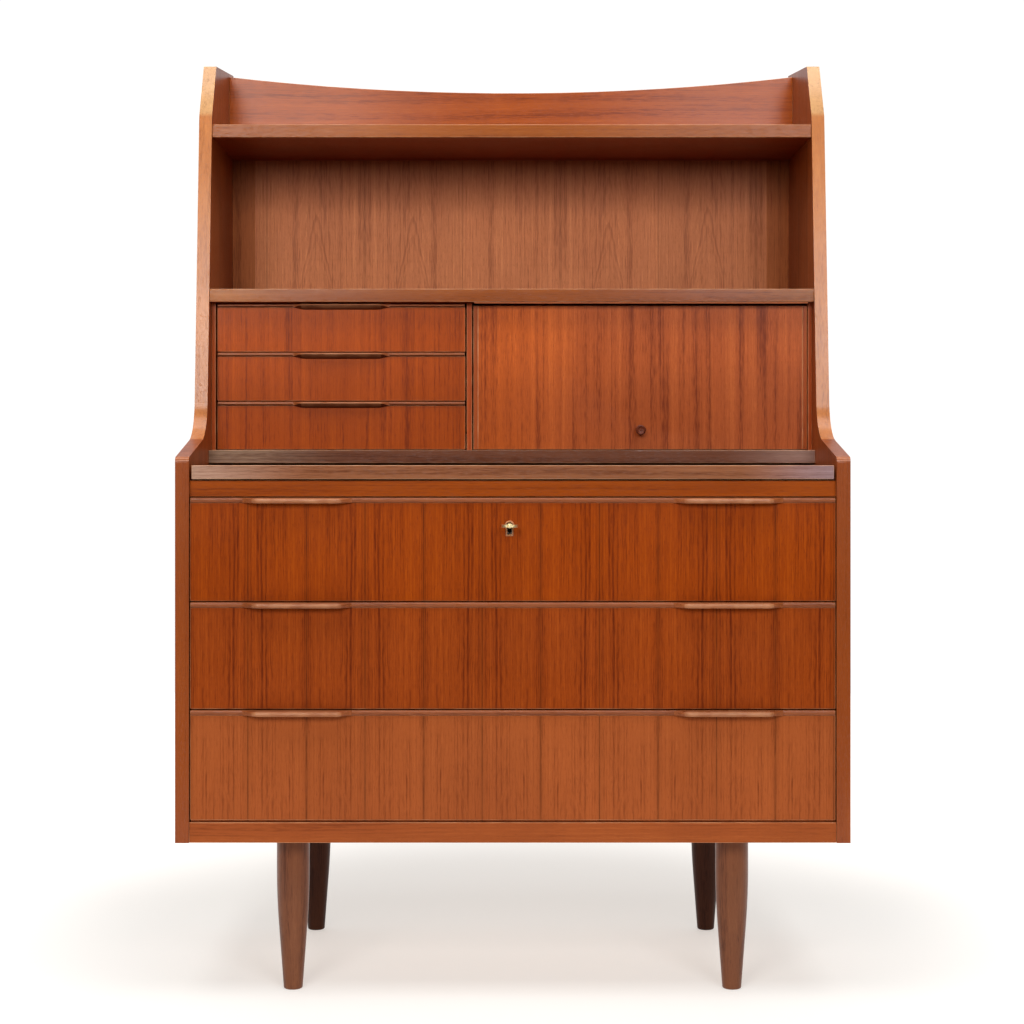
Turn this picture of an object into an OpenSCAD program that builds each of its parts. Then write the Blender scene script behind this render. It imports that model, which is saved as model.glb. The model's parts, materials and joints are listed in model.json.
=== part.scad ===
// Secretary desk: a chest of three wide drawers with a pull-out writing leaf, and a set-back
// hutch above it with three small drawers, a lift-up flap, an open bay and a top tray.
// Origin: on the floor, under the middle of the whole. +Z up, the front faces -Y.

/* [Overall] */
// Width over both sides
body_w = 930; // [900:5:960]
// Depth of the sides, front edge to back
body_d = 450; // [446:1:470]
// Thickness of the sides, shelves and leaf
board_t = 19; // [18:0.5:20]
// Thickness of the plywood back panels
back_t = 6; // [5:0.5:8]

/* [Heights] */
// Underside of the chest, which is the length of the legs
leg_h = 215; // [200:1:230]
// Top of the writing leaf
writing_h = 735; // [733:0.5:737]
// Underside of the middle shelf
shelf_z = 976; // [970:1:980]
// Underside of the top shelf
top_shelf_z = 1223; // [1215:1:1230]
// Top of the crest rail at its middle
crest_low = 1323.5; // [1310:0.5:1330]
// Top of the crest rail at its ends
crest_high = 1349; // [1335:0.5:1350]
// Top of the sides at the back
side_top = 1360; // [1352:1:1365]

/* [Depths from the front plane] */
// Front edge of the fixed desk board
desk_d = 182; // [178:1:186]
// Front edge of the middle shelf
shelf_d = 192; // [188:1:196]
// Front edge of the top shelf
top_shelf_d = 218; // [216:1:222]
// Front face of the small drawers and of the flap
hutch_d = 214; // [212:1:218]
// Front face of the crest rail
crest_d = 402; // [395:1:410]

/* [Wide drawers] */
// Height of the top drawer
top_drawer_h = 141; // [138:0.5:141]
// How much taller each lower drawer is
drawer_step = 4.5; // [3:0.25:4.5]
// Gap between two drawer fronts
drawer_gap = 3.25; // [2:0.25:3.25]
// How far a wide pull stands out from the front plane
pull_out = 12; // [8:1:14]
// How far each wide pull is from the middle
pull_x = 297; // [280:1:310]

/* [Small drawers and flap] */
// Middle of the partition between the small drawers and the flap
partition_x = -63; // [-70:1:-56]
// Height of the flap's pivots
flap_axis_z = 966; // [964:0.5:966]
// Height of the flap's knob
knob_z = 787; // [780:1:800]

/* [Lock] */
// Keyhole, left of the middle
lock_x = -4.4; // [-8:0.2:8]
// Height of the key's axis
lock_z = 652; // [650:0.5:654]
// How far the key's bow stands out from the front plane
key_out = 26; // [24:1:30]
// How far the bolt rises
bolt_throw = 8; // [6:0.5:8]

/* [Legs] */
// Distance of each leg from the middle
leg_x = 308.5; // [290:0.5:340]
// Depth of the front legs' axes
leg_front_d = 60; // [50:1:80]
// Depth of the back legs' axes
leg_back_d = 405; // [380:1:410]
// Radius at the top of a leg
leg_top_r = 23; // [21:0.5:24]

/* [Hidden] */
$fn = 48;
front_y = (key_out - body_d) / 2;
half_w = body_w / 2;
half_in = half_w - board_t;
back_d = body_d - back_t;
rebate_w = 8;

// Heights that follow from the driving ones
leaf_gap = 3;
leaf_z = writing_h - board_t;
desk_z = writing_h + leaf_gap;
desk_top = desk_z + board_t;
shelf_top = shelf_z + board_t;
top_shelf_top = top_shelf_z + board_t;
rail_top = leaf_z - 2;
rail_z = rail_top - 22;
first_drawer_top = rail_z - 1.5;
bottom_rail_h = 28;
back_seam_z = desk_z + board_t / 2;

// Side outline: shoulder line, sloped front edge and the cut-off top corner
shoulder_z = writing_h + 10.9;
shoulder_in = [167.4, writing_h + 45];
shoulder_slope = atan((shoulder_in[1] - shoulder_z) / shoulder_in[0]);
upper_low = [shoulder_in[0], shoulder_in[1]];
upper_high = [216, 1254];
lean = atan((upper_high[0] - upper_low[0]) / (upper_high[1] - upper_low[1]));
top_corner = [261, 1337];
shoulder_r = 65;
nose_r = 7;

// Wide drawers
wide_half = half_in - 1.75;
face_d = 4;
face_t = 19;
strip_h = 7;
strip_d = 1;
box_half = half_in - 4;
box_side_t = 14;
box_back_d = 433;
box_back_t = 12;
box_lift = 7;
box_drop = 14;
bottom_t = 4;
bottom_in = 3;
bottom_lift = 6;
groove_clear = 0.5;
runner_w = 10;
runner_h = 16;
groove_d = 6.5;
groove_h = 17;
groove_lift = 62;
runner_front_d = 42;
wide_flat = 54;
wide_sweep = 23;

// Small drawers
small_n = 3;
small_pitch = (shelf_z - desk_top) / small_n;
liner_t = 6;
partition_t = 8;
small_left = -half_in + liner_t + 3;
small_right = partition_x - partition_t / 2 - 2.8;
small_mid = (small_left + small_right) / 2;
small_t = 14;
small_clear = 1;
small_strip_h = 5.5;
small_box_in = 1;
small_side_t = 8;
small_back_d = 425;
small_box_lift = 4;
small_box_drop = 8;
small_bottom_t = 3;
small_bottom_in = 2;
small_bottom_lift = 3;
small_groove_clear = 0.3;
small_groove_d = 4;
small_groove_h = 7.6;
small_runner_h = 7;
small_groove_lift = 26;
small_flat = 54.5;
small_sweep = 18.5;
small_pull_out = 8;

// Flap
flap_left = partition_x + partition_t / 2 + 3.8;
flap_right = half_in - liner_t - 2.8;
flap_mid = (flap_left + flap_right) / 2;
flap_t = 14;
flap_z = desk_top + 1;
flap_top = flap_axis_z + 6;
flap_axis_d = hutch_d + flap_t / 2;
edging_w = 5;
pin_r = 2;
pin_in = 12;
spigot_r = 3;
spigot_len = 8;
socket_clear = 0.05;
socket_r = 3.5;

// Writing leaf
leaf_half = half_in - 3.5;
leaf_d = 1;
leaf_len = 430;
leaf_edge_w = 20;
leaf_travel = 190;
rail_d = 9;
rail_w = 60;

// Lock and key
face_back_d = face_d + face_t;
case_half = 30;
case_z = lock_z - 22;
case_d = face_d + 8;
case_wall = 1.5;
bolt_layer = [17.6, 20.6];
bit_layer = [13.8, 17];
shank_r = 2.3;
keyhole_r = 4.8;
keyhole_w = 6.3;
keyhole_drop = 12.3;
rim_wall = 2;
rim_proud = 0.8;

TEAK = "#a4512c";
TEAK_DARK = "#6b3a2a";
TEAK_EDGE = "#b87452";
BOX_WOOD = "#c9a27a";
PLYWOOD = "#b98f63";
BRASS = "#c9a24b";
STEEL = "#a9a9a6";

// Wide drawers are counted from the top
function drawer_h(k) = top_drawer_h + (k - 1) * drawer_step;
function drawer_top(k) = k == 1 ? first_drawer_top : drawer_bottom(k - 1) - drawer_gap;
function drawer_bottom(k) = drawer_top(k) - drawer_h(k);

// Small drawers are counted from the top
function small_top(k) = shelf_z - (k - 1) * small_pitch - small_clear;
function small_bottom(k) = shelf_z - k * small_pitch + small_clear;

// A smooth rise from 0 to 1
function ease(t) = t * t * (3 - 2 * t);

// ---- Helpers ----

// A straight board: x and z as in the frame, depths counted back from the front plane
module board(x, d, z) {
    translate([x[0], front_y + d[0], z[0]])
        cube([x[1] - x[0], d[1] - d[0], z[1] - z[0]]);
}

// The same board at the left and at the right of a middle
module board_pair(mid, x, d, z) {
    board([mid + x[0], mid + x[1]], d, z);
    board([mid - x[1], mid - x[0]], d, z);
}

// A depth-and-height outline drawn out along X
module along_x(x) {
    translate([x[0], front_y, 0])
        rotate([90, 0, 90])
            linear_extrude(x[1] - x[0])
                children();
}

// A round bar along Y between two depths
module bar_y(x, d, z, r) {
    translate([x, front_y + d[0], z])
        rotate([-90, 0, 0])
            cylinder(r = r, h = d[1] - d[0]);
}

// A round bar along X
module bar_x(x, d, z, r) {
    translate([x[0], front_y + d, z])
        rotate([0, 90, 0])
            cylinder(r = r, h = x[1] - x[0]);
}

// ---- Carcass ----

// Centre of the hollow curve between the shoulder and the leaning front edge
shoulder_reach = shoulder_r * tan((90 - lean - shoulder_slope) / 2);
curve_low = [shoulder_in[0] - shoulder_reach * cos(shoulder_slope),
             shoulder_in[1] - shoulder_reach * sin(shoulder_slope)];
curve_high = [shoulder_in[0] + shoulder_reach * sin(lean),
              shoulder_in[1] + shoulder_reach * cos(lean)];
curve_mid = [curve_low[0] - shoulder_r * sin(shoulder_slope),
             curve_low[1] + shoulder_r * cos(shoulder_slope)];

// Outline of a side, in depth and height
module side_outline() {
    difference() {
        polygon([
            [0, leg_h],
            [body_d, leg_h],
            [body_d, side_top],
            top_corner,
            upper_high,
            shoulder_in,
            [0, shoulder_z]
        ]);
        difference() {
            translate([-1, shoulder_z - nose_r])
                square([nose_r + 1, nose_r * 2]);
            translate([nose_r, shoulder_z - nose_r + 1.2])
                circle(nose_r);
        }
    }
    difference() {
        polygon([curve_low, shoulder_in + [2, -2], curve_high]);
        translate(curve_mid)
            circle(shoulder_r, $fn = 120);
    }
}

module side_panel(x) {
    color(TEAK)
        difference() {
            along_x(x)
                side_outline();
            board_pair(0, [half_in - 1, half_in + rebate_w], [back_d, body_d + 1],
                       [leg_h - 1, top_shelf_top]);
            back_screw_solids();
        }
}

module side_left() {
    side_panel([-half_w, -half_in]);
}

module side_right() {
    side_panel([half_in, half_w]);
}

module bottom_board() {
    color(PLYWOOD)
        difference() {
            board([-half_in, half_in], [22, back_d], [leg_h, leg_h + board_t]);
            leg_bolts_solids();
            back_screw_solids();
        }
}

module bottom_rail() {
    color(TEAK_EDGE)
        board([-half_in, half_in], [2, 22], [leg_h, leg_h + bottom_rail_h]);
}

// The rail under the leaf, with a mortise for the lock's bolt
module top_rail() {
    mortise_half = 14;
    mortise_d = [16, 22.5];
    mortise_h = 12;
    color(TEAK_EDGE)
        difference() {
            board([-half_in, half_in], [rail_d, rail_d + rail_w], [rail_z, rail_top]);
            board([lock_x - mortise_half, lock_x + mortise_half], mortise_d,
                  [rail_z - 1, rail_z + mortise_h]);
        }
}

// The fixed board of the hutch, with a finger nick below the flap's knob
module desk_board() {
    nick_r = 10;
    nick_deep = 2;
    nick_long = 4;
    color(TEAK)
        difference() {
            board([-half_in, half_in], [desk_d, back_d], [desk_z, desk_top]);
            bar_y(flap_mid - 3, [desk_d - 1, desk_d + nick_long],
                  desk_top + nick_r - nick_deep, nick_r);
            back_screw_solids();
        }
}

module middle_shelf() {
    color(TEAK)
        difference() {
            board([-half_in, half_in], [shelf_d, back_d], [shelf_z, shelf_top]);
            back_screw_solids();
        }
}

module top_shelf() {
    color(TEAK)
        difference() {
            board([-half_in, half_in], [top_shelf_d, back_d], [top_shelf_z, top_shelf_top]);
            back_screw_solids();
        }
}

// The rail on the top shelf, its upper edge hollowed by one long arc
module crest_rail() {
    sag = crest_high - crest_low;
    arc_r = (half_in * half_in + sag * sag) / (2 * sag);
    crest_t = 20;
    color(TEAK)
        difference() {
            board([-half_in, half_in], [crest_d, crest_d + crest_t],
                  [top_shelf_top, crest_high]);
            translate([0, front_y + crest_d - 1, crest_low + arc_r])
                rotate([-90, 0, 0])
                    cylinder(r = arc_r, h = crest_t + 2, $fn = 1440);
        }
}

module cabinet_back() {
    color(PLYWOOD)
        difference() {
            board([-half_in - rebate_w, half_in + rebate_w], [back_d, body_d],
                  [leg_h, back_seam_z]);
            back_screw_solids();
        }
}

module hutch_back() {
    color(TEAK)
        difference() {
            board([-half_in - rebate_w, half_in + rebate_w], [back_d, body_d],
                  [back_seam_z, top_shelf_top]);
            back_screw_solids();
        }
}

module liner(x, socket) {
    color(TEAK)
        difference() {
            board(x, [hutch_d - 2, back_d], [desk_top, shelf_z]);
            if (socket)
                bar_x([x[0] - 1, x[1] + 1], flap_axis_d, flap_axis_z, socket_r);
        }
}

module liner_left() {
    liner([-half_in, -half_in + liner_t], false);
}

module liner_right() {
    liner([half_in - liner_t, half_in], true);
}

module partition() {
    liner([partition_x - partition_t / 2, partition_x + partition_t / 2], true);
}

// Hardwood runners for the wide drawers, on the sides
module drawer_runners() {
    color(BOX_WOOD)
        for (k = [1:3]) {
            z = drawer_bottom(k) + groove_lift;
            board_pair(0, [half_in - runner_w, half_in], [runner_front_d, back_d],
                       [z, z + runner_h]);
        }
}

// Thin runners for the small drawers, on the liner and on the partition
module hutch_runners() {
    reach = small_groove_d - small_groove_clear;
    d = [hutch_d + 24, small_back_d];
    left = [-half_in + liner_t, small_left + small_box_in + reach];
    right = [small_right - small_box_in - reach, partition_x - partition_t / 2];
    color(BOX_WOOD)
        for (k = [1:small_n]) {
            z = small_bottom(k) + small_groove_lift;
            board(left, d, [z, z + small_runner_h]);
            board(right, d, [z, z + small_runner_h]);
        }
}

// Cleats that carry the writing leaf
module leaf_guides() {
    color(BOX_WOOD)
        board_pair(0, [half_in - 15, half_in], [rail_d + rail_w, back_d],
                   [leaf_z - 16, leaf_z - 0.3]);
}

// ---- Legs and fixings ----

// Radius of a leg at a height: straight taper below, easing into a round column above
leg_taper = 0.0756;
leg_ease_z = [90, 170];
stud_r = 4;
stud_in = 22;
stud_len = 38;
function leg_r(z) =
    let (rise = leg_taper / 2 / (leg_ease_z[1] - leg_ease_z[0]),
         low_r = leg_top_r - rise * pow(leg_ease_z[1] - leg_ease_z[0], 2))
    z > leg_ease_z[1] ? leg_top_r
    : z > leg_ease_z[0] ? leg_top_r - rise * pow(leg_ease_z[1] - z, 2)
    : low_r - (leg_ease_z[0] - z) * leg_taper;

module leg(x, d) {
    foot_r = 2.5;
    ease_steps = 8;
    color(TEAK_DARK)
        translate([x, front_y + d, 0])
            difference() {
                rotate_extrude()
                    polygon([
                        [0, 0],
                        [leg_r(0) - foot_r, 0],
                        [leg_r(0) - foot_r * 0.3, foot_r * 0.3],
                        [leg_r(foot_r), foot_r],
                        for (i = [0:ease_steps])
                            let (z = leg_ease_z[0]
                                     + (leg_ease_z[1] - leg_ease_z[0]) * i / ease_steps)
                            [leg_r(z), z],
                        [leg_top_r, leg_h],
                        [0, leg_h]
                    ]);
                translate([0, 0, leg_h - stud_in])
                    cylinder(r = stud_r, h = stud_in + 1);
            }
}

module leg_front_left() {
    leg(-leg_x, leg_front_d);
}

module leg_front_right() {
    leg(leg_x, leg_front_d);
}

module leg_back_left() {
    leg(-leg_x, leg_back_d);
}

module leg_back_right() {
    leg(leg_x, leg_back_d);
}

// The threaded studs that join the legs to the bottom board
module leg_bolts_solids() {
    for (x = [-leg_x, leg_x], d = [leg_front_d, leg_back_d])
        translate([x, front_y + d, leg_h - stud_in])
            cylinder(r = stud_r, h = stud_len);
}

module leg_bolts() {
    color(STEEL)
        leg_bolts_solids();
}

// One countersunk screw through a back panel, flush with its outer face
module back_screw(x, z) {
    head_r = 3.4;
    thread_r = 1.6;
    translate([x, front_y + body_d, z])
        rotate([90, 0, 0]) {
            cylinder(r1 = head_r, r2 = thread_r, h = 2.4);
            cylinder(r = thread_r, h = 20);
        }
}

module back_screw_solids() {
    seam_gap = 4.8;
    for (x = [-half_in - rebate_w / 2, half_in + rebate_w / 2], z = [262, 480, 698, 806, 1010, 1200])
        back_screw(x, z);
    for (x = [-300, 0, 300]) {
        back_screw(x, leg_h + board_t / 2);
        back_screw(x, back_seam_z - seam_gap);
        back_screw(x, shelf_z + board_t / 2);
        back_screw(x, top_shelf_z + board_t / 2);
    }
    for (x = [-150, 150])
        back_screw(x, back_seam_z + seam_gap);
}

module back_screws() {
    color(STEEL)
        back_screw_solids();
}

// ---- Flap ----

// Brass bushes that the flap's pins turn in
module flap_sockets() {
    color(BRASS)
        difference() {
            union() {
                bar_x([partition_x - partition_t / 2, partition_x + partition_t / 2],
                      flap_axis_d, flap_axis_z, socket_r);
                bar_x([half_in - liner_t, half_in], flap_axis_d, flap_axis_z, socket_r);
            }
            bar_x([-half_in, half_in + 1], flap_axis_d, flap_axis_z, pin_r + socket_clear);
        }
}

// Small blocks behind the flap's lower corners
module flap_stops() {
    block = [10, 40];
    d = [hutch_d + flap_t + 0.2, hutch_d + flap_t + 10];
    z = [desk_top, desk_top + block[1]];
    color(BOX_WOOD) {
        board([partition_x + partition_t / 2, partition_x + partition_t / 2 + block[0]], d, z);
        board([half_in - liner_t - block[0], half_in - liner_t], d, z);
    }
}

module flap_pin_solids(r) {
    bar_x([partition_x - partition_t / 2 + 0.5, flap_left + pin_in],
          flap_axis_d, flap_axis_z, r);
    bar_x([flap_right - pin_in, half_in - 0.5], flap_axis_d, flap_axis_z, r);
}

module flap_panel() {
    color(TEAK)
        difference() {
            board([flap_left + edging_w, flap_right - edging_w],
                  [hutch_d, hutch_d + flap_t], [flap_z, flap_top]);
            flap_pin_solids(pin_r);
            bar_y(flap_mid, [hutch_d - 1, hutch_d + spigot_len], knob_z, spigot_r);
        }
}

module flap_edging() {
    d = [hutch_d, hutch_d + flap_t];
    color(TEAK_EDGE)
        difference() {
            union() {
                board([flap_left, flap_left + edging_w], d, [flap_z, flap_top]);
                board([flap_right - edging_w, flap_right], d, [flap_z, flap_top]);
            }
            flap_pin_solids(pin_r);
        }
}

// A small turned knob with a dished face and a spigot let into the panel
module flap_knob() {
    color(TEAK_DARK)
        translate([flap_mid, front_y + hutch_d, knob_z])
            rotate([90, 0, 0])
                rotate_extrude()
                    polygon([
                        [0, -spigot_len],
                        [spigot_r, -spigot_len],
                        [spigot_r, 0],
                        [4.6, 0],
                        [3.9, 2.5],
                        [3.9, 5.5],
                        [5.4, 8],
                        [7.3, 9.8],
                        [7.6, 11.4],
                        [7, 13.2],
                        [5.6, 14],
                        [4, 13.4],
                        [2, 13],
                        [0, 13]
                    ]);
}

module flap_pins() {
    color(STEEL)
        flap_pin_solids(pin_r);
}

// ---- Writing leaf ----

module leaf_board() {
    color(TEAK)
        board([-leaf_half, leaf_half], [leaf_d + leaf_edge_w, leaf_d + leaf_len],
              [leaf_z, writing_h]);
}

module leaf_edge() {
    color(TEAK_EDGE)
        board([-leaf_half, leaf_half], [leaf_d, leaf_d + leaf_edge_w], [leaf_z, writing_h]);
}

// Blocks under the leaf that meet the rail when it is pulled right out
module leaf_stops() {
    d = rail_d + rail_w + leaf_travel;
    stop_x = [380, 410];
    stop_w = 20;
    stop_h = 12;
    color(BOX_WOOD)
        board_pair(0, stop_x, [d, d + stop_w], [leaf_z - stop_h, leaf_z]);
}

// ---- Wide drawers ----

// Plan of a pull: straight in the middle, sweeping back to the strip at each end
module pull_plan(flat, sweep, reach, root) {
    steps = 8;
    polygon([
        for (i = [0:steps]) [-flat - sweep * (1 - i / steps), -reach * ease(i / steps)],
        for (i = [0:steps]) [flat + sweep * i / steps, -reach * ease(1 - i / steps)],
        [flat + sweep, root],
        [-flat - sweep, root]
    ]);
}

// A pull carved on the front of a strip; front is the strip's front depth, top its upper face
module pull(x, front, top, flat, sweep, reach) {
    root = 2;
    length = flat + sweep;
    intersection() {
        translate([x, front_y + front, top - 12])
            linear_extrude(13)
                pull_plan(flat, sweep, reach, root);
        along_x([x - length, x + length])
            polygon([
                [front + root, top],
                [front, top - 0.2],
                [front - reach + 2.2, top - 1.6],
                [front - reach + 0.5, top - 2.6],
                [front - reach, top - 4],
                [front - reach, top - 7],
                [front - reach + 0.8, top - 8.2],
                [front - reach + 3, top - 8.8],
                [front - reach * 0.45, top - 7],
                [front, top - 5.8],
                [front + root, top - 5.8]
            ]);
    }
}

// The keyhole's own outline, and the rim round it
module keyhole_outline(grow) {
    circle(keyhole_r + grow);
    translate([-keyhole_w / 2 - grow, -keyhole_drop - grow])
        square([keyhole_w + 2 * grow, keyhole_drop + grow]);
}

module keyhole_bar(d, grow) {
    translate([lock_x, front_y + d[1], lock_z])
        rotate([90, 0, 0])
            linear_extrude(d[1] - d[0])
                keyhole_outline(grow);
}

module lock_pocket() {
    board([lock_x - case_half, lock_x + case_half], [case_d, face_back_d + 1],
          [case_z, first_drawer_top + 1]);
}

module drawer_front(k) {
    color(TEAK)
        difference() {
            board([-wide_half, wide_half], [face_d, face_back_d],
                  [drawer_bottom(k), drawer_top(k) - strip_h]);
            if (k == 1) {
                lock_pocket();
                keyhole_bar([face_d - 1, case_d + 1], rim_wall);
            }
        }
}

module drawer_lip(k) {
    top = drawer_top(k);
    color(TEAK_EDGE)
        difference() {
            union() {
                board([-wide_half, wide_half], [strip_d, face_back_d], [top - strip_h, top]);
                for (x = [-pull_x, pull_x])
                    pull(x, strip_d, top, wide_flat, wide_sweep, pull_out + strip_d);
            }
            if (k == 1)
                lock_pocket();
        }
}

// Two sides and a back, grooved for the bottom and for the runners
module drawer_box(k) {
    z = [drawer_bottom(k) + box_lift, drawer_top(k) - box_drop];
    groove_z = drawer_bottom(k) + groove_lift - groove_clear;
    bottom_z = z[0] + bottom_lift;
    color(BOX_WOOD)
        difference() {
            union() {
                board_pair(0, [box_half - box_side_t, box_half], [face_back_d, box_back_d], z);
                board([-box_half + box_side_t, box_half - box_side_t],
                      [box_back_d - box_back_t, box_back_d], [bottom_z + bottom_t, z[1]]);
            }
            board_pair(0, [box_half - groove_d, box_half + 1],
                       [runner_front_d - 2, box_back_d + 1], [groove_z, groove_z + groove_h]);
            board_pair(0, [0, box_half - box_side_t + bottom_in],
                       [face_back_d - 1, box_back_d + 1], [bottom_z, bottom_z + bottom_t]);
        }
}

module drawer_bottom_panel(k) {
    reach = box_half - box_side_t + bottom_in;
    z = drawer_bottom(k) + box_lift + bottom_lift;
    color(PLYWOOD)
        board([-reach, reach], [face_back_d, box_back_d], [z, z + bottom_t]);
}

// ---- Lock ----

// Brass rim let into the front round the keyhole
module escutcheon() {
    color(BRASS)
        difference() {
            keyhole_bar([face_d - rim_proud, case_d], rim_wall);
            keyhole_bar([face_d - rim_proud - 1, case_d + 1], 0);
        }
}

// The case, open on the bolt's way up, with a bearing for the key's tip
module lock_case() {
    x = [lock_x - case_half, lock_x + case_half];
    z = [case_z, first_drawer_top];
    color(BRASS)
        difference() {
            board(x, [case_d, face_back_d], z);
            board([x[0] + case_wall, x[1] - case_wall],
                  [case_d + case_wall, face_back_d - 2], [z[0] + case_wall, z[1] - 2]);
            keyhole_bar([case_d - 1, case_d + case_wall + 1], 0);
            board([lock_x - 12.5, lock_x + 12.5], [bolt_layer[0] - 0.3, bolt_layer[1] + 0.3],
                  [z[1] - 3, z[1] + 1]);
            bar_y(lock_x, [face_back_d - 3, face_back_d + 1], lock_z, shank_r + 0.05);
        }
}

// A sliding plate with a slot for the key's shank
module lock_bolt() {
    slot_r = shank_r + 0.3;
    plate_z = [lock_z - 14, lock_z + 24];
    color(STEEL)
        difference() {
            union() {
                board([lock_x - 20, lock_x + 20], bolt_layer, plate_z);
                board([lock_x - 12, lock_x + 12], bolt_layer,
                      [plate_z[1], first_drawer_top - 0.2]);
            }
            bar_y(lock_x, [bolt_layer[0] - 1, bolt_layer[1] + 1], lock_z, slot_r);
            bar_y(lock_x, [bolt_layer[0] - 1, bolt_layer[1] + 1], lock_z - bolt_throw, slot_r);
            board([lock_x - slot_r, lock_x + slot_r], [bolt_layer[0] - 1, bolt_layer[1] + 1],
                  [lock_z - bolt_throw, lock_z]);
        }
}

// A ring drawn out of two circles, lying flat
module bow_ring(r, spread, h) {
    translate([0, 0, -h / 2])
        linear_extrude(h) {
            translate([-spread, 0])
                circle(r);
            translate([spread, 0])
                circle(r);
            square([2 * spread, 2 * r], center = true);
        }
}

module key() {
    bow_r = 8;
    bow_spread = 3.25;
    hole_r = 4.6;
    bow_d = bow_r - key_out;
    color(BRASS) {
        difference() {
            union() {
                bar_y(lock_x, [bow_d + bow_r - 1, face_back_d - 0.5], lock_z, shank_r);
                translate([lock_x, front_y + bow_d, lock_z])
                    bow_ring(bow_r, bow_spread, 3);
            }
            translate([lock_x, front_y + bow_d, lock_z])
                bow_ring(hole_r, bow_spread, 4);
        }
        bar_y(lock_x, [bow_d + bow_r - 1.5, bow_d + bow_r + 2.5], lock_z, 3.5);
        board([lock_x - 8.5, lock_x - 1], bit_layer, [lock_z - 1.2, lock_z + 1.2]);
    }
}

// ---- Small drawers ----

module hutch_front(k) {
    color(TEAK)
        board([small_left, small_right], [hutch_d, hutch_d + small_t],
              [small_bottom(k), small_top(k) - small_strip_h]);
}

module hutch_lip(k) {
    front = hutch_d - 2.5;
    top = small_top(k);
    color(TEAK_EDGE) {
        board([small_left, small_right], [front, hutch_d + small_t],
              [top - small_strip_h, top]);
        pull(small_mid, front, top, small_flat, small_sweep, small_pull_out);
    }
}

module hutch_box(k) {
    d = [hutch_d + small_t, small_back_d];
    z = [small_bottom(k) + small_box_lift, small_top(k) - small_box_drop];
    reach = (small_right - small_left) / 2 - small_box_in;
    inner = reach - small_side_t;
    groove_z = small_bottom(k) + small_groove_lift - small_groove_clear;
    floor_z = [z[0] + small_bottom_lift, z[0] + small_bottom_lift + small_bottom_t];
    color(BOX_WOOD)
        difference() {
            union() {
                board_pair(small_mid, [inner, reach], d, z);
                board([small_mid - inner, small_mid + inner],
                      [small_back_d - small_side_t, small_back_d], [floor_z[1], z[1]]);
            }
            board_pair(small_mid, [reach - small_groove_d, reach + 1],
                       [hutch_d + 22, small_back_d + 1],
                       [groove_z, groove_z + small_groove_h]);
            board_pair(small_mid, [0, inner + small_bottom_in], [d[0] - 1, d[1] + 1], floor_z);
        }
}

module hutch_bottom(k) {
    reach = (small_right - small_left) / 2 - small_box_in - small_side_t + small_bottom_in;
    z = small_bottom(k) + small_box_lift + small_bottom_lift;
    color(PLYWOOD)
        board([small_mid - reach, small_mid + reach], [hutch_d + small_t, small_back_d],
              [z, z + small_bottom_t]);
}

// ---- Drawing ----

side_left();
side_right();
bottom_board();
bottom_rail();
top_rail();
desk_board();
middle_shelf();
top_shelf();
crest_rail();
cabinet_back();
hutch_back();
liner_left();
liner_right();
partition();
drawer_runners();
hutch_runners();
leaf_guides();
leg_front_left();
leg_front_right();
leg_back_left();
leg_back_right();
leg_bolts();
back_screws();
flap_sockets();
flap_stops();
leaf_board();
leaf_edge();
leaf_stops();
flap_panel();
flap_edging();
flap_knob();
flap_pins();
drawer_front(1);  // drawer_1_front
drawer_lip(1);  // drawer_1_lip
drawer_box(1);  // drawer_1_box
drawer_bottom_panel(1);  // drawer_1_bottom
escutcheon();
lock_case();
lock_bolt();
key();
drawer_front(2);  // drawer_2_front
drawer_lip(2);  // drawer_2_lip
drawer_box(2);  // drawer_2_box
drawer_bottom_panel(2);  // drawer_2_bottom
drawer_front(3);  // drawer_3_front
drawer_lip(3);  // drawer_3_lip
drawer_box(3);  // drawer_3_box
drawer_bottom_panel(3);  // drawer_3_bottom
hutch_front(1);  // hutch_1_front
hutch_lip(1);  // hutch_1_lip
hutch_box(1);  // hutch_1_box
hutch_bottom(1);  // hutch_1_bottom
hutch_front(2);  // hutch_2_front
hutch_lip(2);  // hutch_2_lip
hutch_box(2);  // hutch_2_box
hutch_bottom(2);  // hutch_2_bottom
hutch_front(3);  // hutch_3_front
hutch_lip(3);  // hutch_3_lip
hutch_box(3);  // hutch_3_box
hutch_bottom(3);  // hutch_3_bottom
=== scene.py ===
import json
import math

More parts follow.
